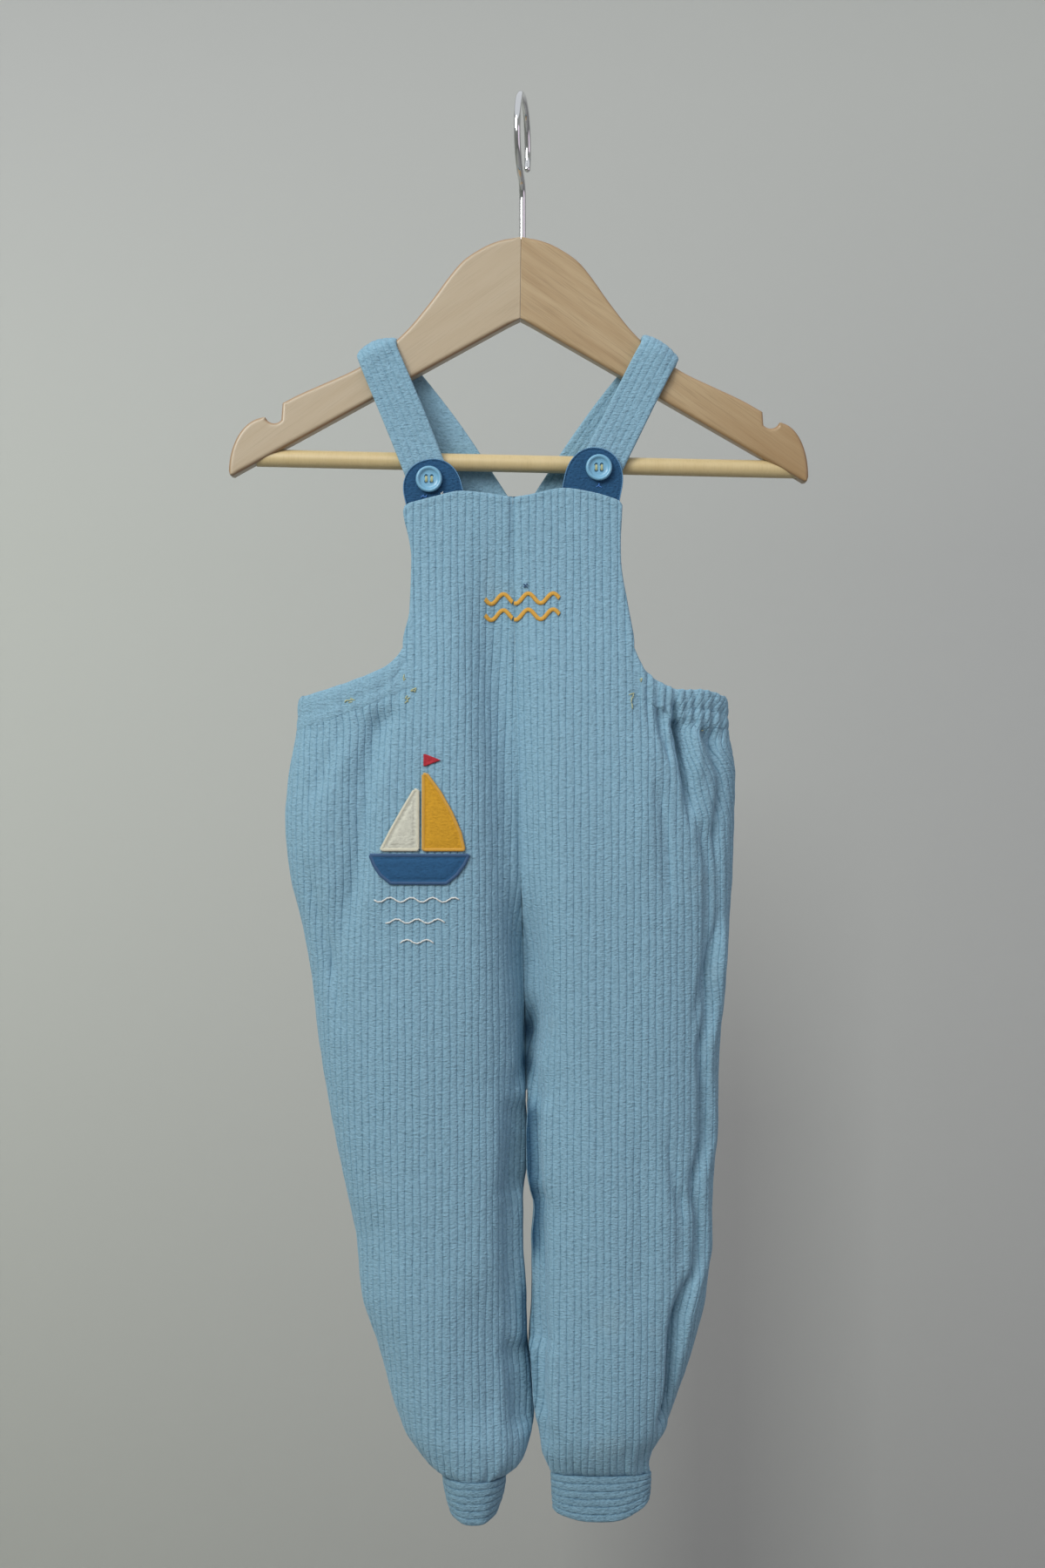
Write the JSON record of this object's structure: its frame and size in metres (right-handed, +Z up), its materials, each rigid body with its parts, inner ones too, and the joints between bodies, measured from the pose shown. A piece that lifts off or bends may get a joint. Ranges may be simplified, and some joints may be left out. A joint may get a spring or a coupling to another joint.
{
  "type": "bib overalls on a wooden hanger",
  "caption": "Toddler's bib overalls in ribbed velour with crossed straps, buttoned tabs and ribbed ankle cuffs, on a child's wooden hanger.",
  "frame": {"origin": "the seat of the hanger's hook, the underside of its top, where a rail carries it", "axes": "+Z up, +Y from the bib towards the back, +X to the right of someone facing the bib; the garment hangs below the origin"},
  "size_m": [0.3188, 0.0627, 0.7863],
  "materials": {
    "velour": "ribbed cotton velour, light blue, soft matte nap",
    "velour_cuff": "the same velour with its ribs running round the cuff",
    "tab_velour": "plain velour, dark blue, brushed",
    "button": "pale blue, satin",
    "felt_blue": "felt, matte, short nap",
    "felt_yellow": "felt, matte, short nap",
    "felt_cream": "felt, matte, short nap",
    "felt_red": "felt, matte, short nap",
    "thread": "cotton sewing and embroidery thread",
    "wood": "pale hardwood, clear satin varnish",
    "dowel": "pale round dowel, clear satin varnish",
    "wire": "polished chrome plate"
  },
  "bodies": {
    "root": {"front_left": "velour", "front_right": "velour", "back_left": "velour", "back_right": "velour", "casing_left": "velour", "casing_right": "velour", "casing_back": "velour", "strap_left": "velour", "strap_right": "velour", "tab_left": "tab_velour", "tab_right": "tab_velour", "button_left": "button", "button_right": "button", "cuff_left": "velour_cuff", "cuff_right": "velour_cuff", "patch_hull": "felt_blue", "patch_sail": "felt_yellow", "patch_jib": "felt_cream", "patch_pennant": "felt_red", "hanger_arm_left": "wood", "hanger_arm_right": "wood", "hanger_bar": "dowel", "hanger_hook": "wire"}
  },
  "joints": []
}
